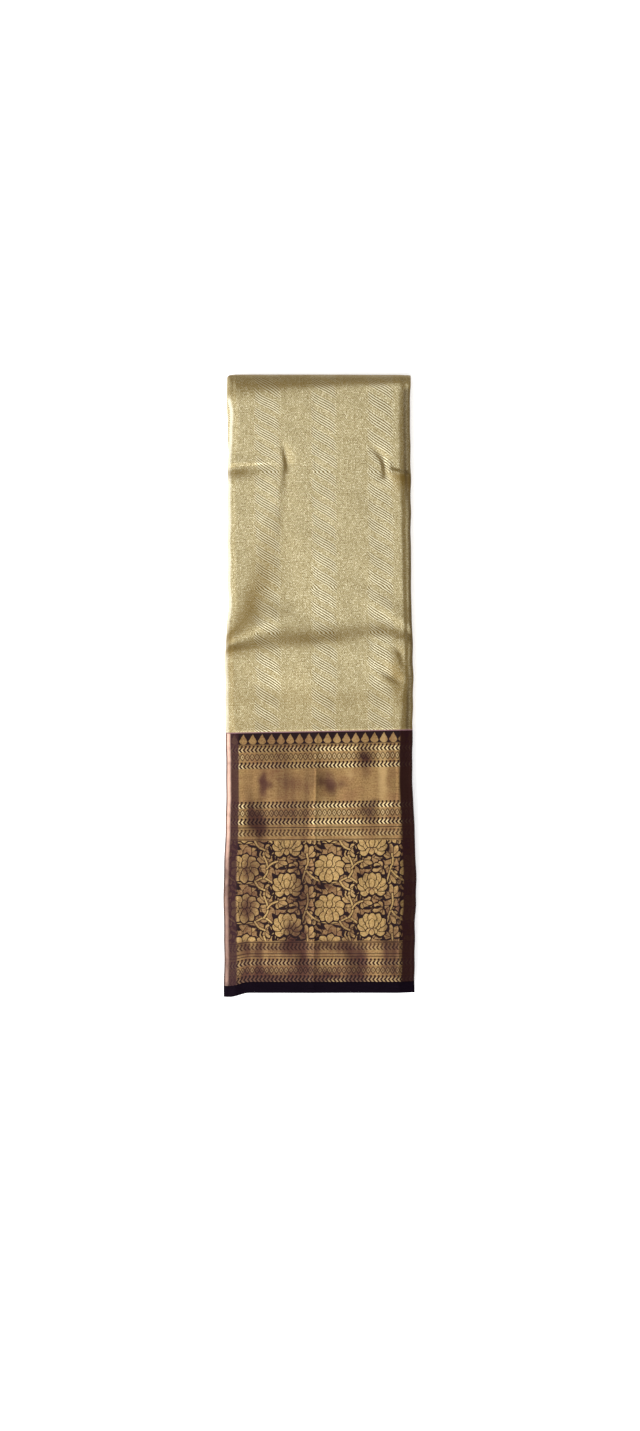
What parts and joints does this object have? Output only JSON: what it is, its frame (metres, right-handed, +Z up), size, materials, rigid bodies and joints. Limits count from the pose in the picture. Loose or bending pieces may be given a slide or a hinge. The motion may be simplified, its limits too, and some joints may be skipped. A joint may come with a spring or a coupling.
{
  "type": "folded silk sari",
  "caption": "Silk sari with a broad woven gold-thread border and plain hem, folded into a long flat pack and doubled over at the top; lies on its flat underside.",
  "frame": {"origin": "centre of the folded pack's outline, on the surface that it lies on", "axes": "+X across the pack towards its layered side, +Y along it towards the top fold, +Z up"},
  "size_m": [0.1882, 0.6072, 0.0274],
  "materials": {
    "body_silk": "pale gold tissue silk with a soft metallic sheen",
    "border_silk": "antique gold thread woven over dark aubergine silk",
    "hem_silk": "plain dark aubergine silk, satin"
  },
  "bodies": {
    "root": {"body_front": "body_silk", "body_back": "body_silk", "body_layers": "body_silk", "border_front": "border_silk", "border_back": "border_silk", "border_layers_front": "border_silk", "border_layers_back": "border_silk", "hem_front": "hem_silk", "hem_back": "hem_silk", "hem_leaf_front_1": "hem_silk", "hem_leaf_front_2": "hem_silk", "hem_leaf_front_3": "hem_silk", "hem_leaf_back_1": "hem_silk", "hem_leaf_back_2": "hem_silk", "hem_leaf_back_3": "hem_silk"}
  },
  "joints": []
}
